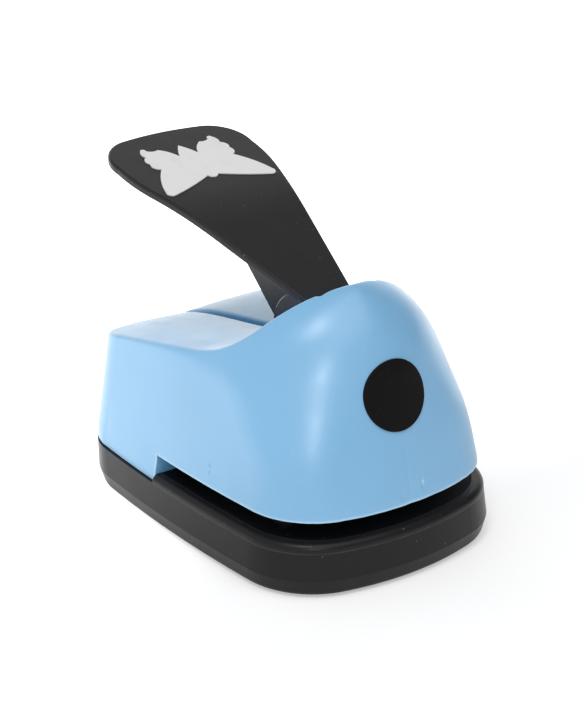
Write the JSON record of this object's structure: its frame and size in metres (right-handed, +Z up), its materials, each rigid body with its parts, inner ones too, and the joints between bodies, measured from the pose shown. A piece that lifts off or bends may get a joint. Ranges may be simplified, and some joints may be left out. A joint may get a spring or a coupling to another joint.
{
  "type": "craft punch",
  "caption": "Desk craft punch: a lever pivoted in a rounded blue cover presses a spring-returned motif punch through paper held in the slot over a black base.",
  "frame": {"origin": "on the surface the punch stands on, at the middle of its overall length and width", "axes": "+Z up, -Y towards the paper slot, +Y towards the lever's free end, X across; X = 0 is the plane of symmetry"},
  "size_m": [0.0628, 0.0932, 0.073],
  "materials": {
    "cover_plastic": "smooth moulded, satin gloss",
    "base_plastic": "smooth moulded, black",
    "lever_plastic": "smooth moulded, dark grey",
    "foot_rubber": "soft matt",
    "plate_steel": "zinc-plated sheet",
    "table_plastic": "moulded, fine texture",
    "tool_steel": "ground",
    "pin_steel": "turned and plated",
    "screw_steel": "plated",
    "spring_steel": "drawn wire",
    "carrier_plastic": "moulded",
    "sticker_film": "pale printed film",
    "badge_film": "printed film with a clear gloss"
  },
  "bodies": {
    "root": {"upper_cover": "cover_plastic", "base_tray": "base_plastic", "base_rim": "base_plastic", "paper_table": "table_plastic", "rubber_feet": "foot_rubber", "die_plate": "tool_steel", "gap_spacer": "plate_steel", "guide_plate": "plate_steel", "pivot_bracket": "plate_steel", "pivot_pin": "pin_steel", "pin_clips": "spring_steel", "frame_screws": "screw_steel", "bracket_screws": "screw_steel", "cover_screws": "screw_steel", "guide_post_left": "pin_steel", "guide_post_right": "pin_steel", "return_spring_left": "spring_steel", "return_spring_right": "spring_steel", "front_badge": "badge_film"},
    "lever": {"lever": "lever_plastic", "motif_sticker": "sticker_film"},
    "punch": {"cutting_punch": "tool_steel", "punch_carrier": "carrier_plastic", "strike_plate": "plate_steel"}
  },
  "joints": [
    {"name": "lever_pivot", "type": "hinge", "parent": "root", "child": "lever", "pos_m": [0, -0.0258, 0.0415], "axis": [-1, 0, 0], "range_deg": [0, 30], "stiffness_Nm_per_rad": 1.5, "springref_deg": -20.05},
    {"name": "punch_slide", "type": "slide", "parent": "root", "child": "punch", "axis": [0, 0, -1], "range_m": [0, 0.0062], "deforming": ["return_spring_left", "return_spring_right"]}
  ],
  "couplings": [
    {"joint": "punch_slide", "follows": "lever_pivot", "m_per_rad": 0.01141}
  ]
}
